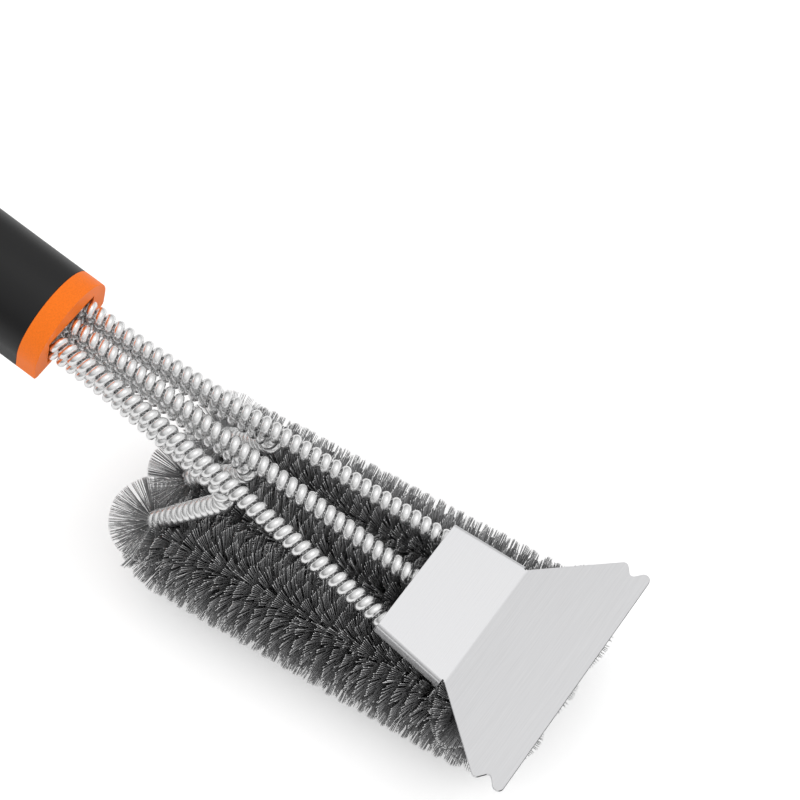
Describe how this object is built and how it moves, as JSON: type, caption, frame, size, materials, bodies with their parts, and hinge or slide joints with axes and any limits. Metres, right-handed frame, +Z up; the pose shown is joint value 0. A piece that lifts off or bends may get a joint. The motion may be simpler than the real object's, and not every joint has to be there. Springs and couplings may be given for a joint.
{
  "type": "grill cleaning brush",
  "caption": "Grill cleaning brush with round wire brushes on twisted wire stems, a folded steel scraper with notched sides and a plastic grip",
  "frame": {"origin": "On the surface that the bristles stand on, under the middle of the whole brush's box", "axes": "+X from the grip to the scraper's front edge, the longest extent; +Y across the brushes, the shortest extent, to the left of the scraper; +Z up"},
  "size_m": [0.4322, 0.0942, 0.1804],
  "materials": {
    "grip": "satin",
    "collar": "satin",
    "socket": "matte",
    "sheet": "satin",
    "wire": "polished",
    "bristle": "satin"
  },
  "bodies": {
    "root": {"handle": "grip", "collar": "collar", "stem_socket": "socket", "scraper": "sheet", "left_bristles": "bristle", "left_core": "wire", "left_shaft_wire_a": "wire", "left_shaft_wire_b": "wire", "left_hook_wire_a": "wire", "left_hook_wire_b": "wire", "left_return_wire_a": "wire", "left_return_wire_b": "wire", "middle_bristles": "bristle", "middle_core": "wire", "middle_shaft_wire_a": "wire", "middle_shaft_wire_b": "wire", "middle_hook_wire_a": "wire", "middle_hook_wire_b": "wire", "middle_return_wire_a": "wire", "middle_return_wire_b": "wire", "right_bristles": "bristle", "right_core": "wire", "right_shaft_wire_a": "wire", "right_shaft_wire_b": "wire", "right_hook_wire_a": "wire", "right_hook_wire_b": "wire", "right_return_wire_a": "wire", "right_return_wire_b": "wire"}
  },
  "joints": []
}
